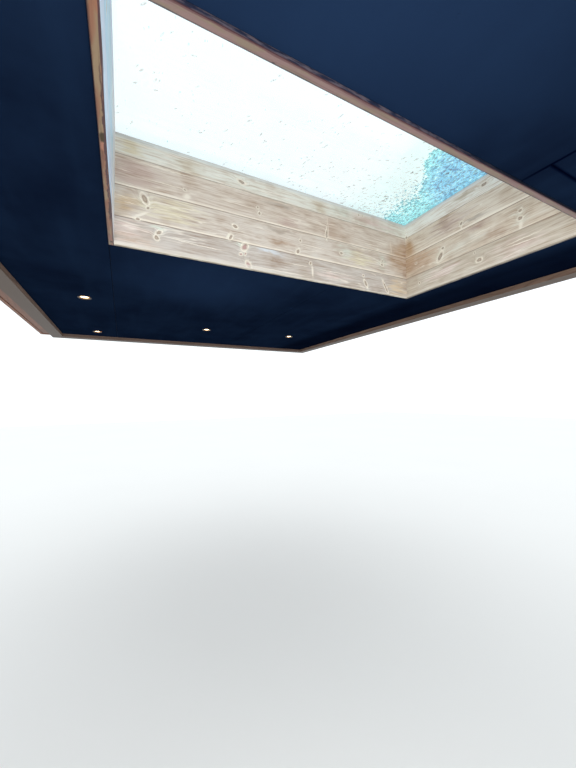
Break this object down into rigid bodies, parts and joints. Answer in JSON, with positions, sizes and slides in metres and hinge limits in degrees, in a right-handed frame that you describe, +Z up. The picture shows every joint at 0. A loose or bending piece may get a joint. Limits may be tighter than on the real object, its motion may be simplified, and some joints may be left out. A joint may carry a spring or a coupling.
{
  "type": "flat roof section with boxed rooflight",
  "caption": "Flat timber roof section of a small hut, with a navy sheeted ceiling, downlights and a board-lined light well under a flat double-glazed rooflight.",
  "frame": {"origin": "middle of the underside of the wall plates, where the section bears on the walls", "axes": "+X across the hut to the right of the picture, +Y along the hut away from the camera, +Z up"},
  "size_m": [3.25, 4.676, 0.573],
  "materials": {
    "structural_timber": "planed softwood",
    "deck_board": "strand board",
    "roof_membrane": "matte sheet",
    "stained_timber": "reddish brown stain",
    "dark_metal": "satin powder coat",
    "navy_ceiling": "navy paint, matt, on sheets",
    "bezel_metal": "dark bronze lacquer, satin",
    "warm_lens": "frosted, lit",
    "brushed_pine": "brushed and lightly scorched, pale wash",
    "gasket_rubber": "matte",
    "glass": "clear, rain-wet outside",
    "spacer_metal": "satin"
  },
  "bodies": {
    "root": {"wall_plate_left": "structural_timber", "wall_plate_right": "structural_timber", "wall_plate_near": "structural_timber", "wall_plate_far": "structural_timber", "joists": "structural_timber", "opening_trimmers": "structural_timber", "opening_headers": "structural_timber", "ceiling_battens": "structural_timber", "firrings": "structural_timber", "roof_deck": "deck_board", "roof_membrane": "roof_membrane", "fascia_left": "stained_timber", "fascia_right": "stained_timber", "fascia_near": "stained_timber", "fascia_far": "stained_timber", "soffits_long": "stained_timber", "soffits_cross": "stained_timber", "edge_trim_left": "dark_metal", "edge_trim_right": "dark_metal", "edge_trim_near": "dark_metal", "edge_trim_far": "dark_metal", "ceiling_left": "navy_ceiling", "ceiling_middle": "navy_ceiling", "ceiling_right": "navy_ceiling", "downlight_bezels": "bezel_metal", "downlight_lenses": "warm_lens", "lining_left": "brushed_pine", "lining_right": "brushed_pine", "lining_near": "brushed_pine", "lining_far": "brushed_pine", "kerb_left": "structural_timber", "kerb_right": "structural_timber", "kerb_near": "structural_timber", "kerb_far": "structural_timber", "kerb_flashing_left": "dark_metal", "kerb_flashing_right": "dark_metal", "kerb_flashing_near": "dark_metal", "kerb_flashing_far": "dark_metal", "base_gasket": "gasket_rubber", "inner_pane": "glass", "glass_spacer": "spacer_metal", "outer_pane": "glass", "cap_gasket": "gasket_rubber", "glazing_cap": "dark_metal"}
  },
  "joints": []
}
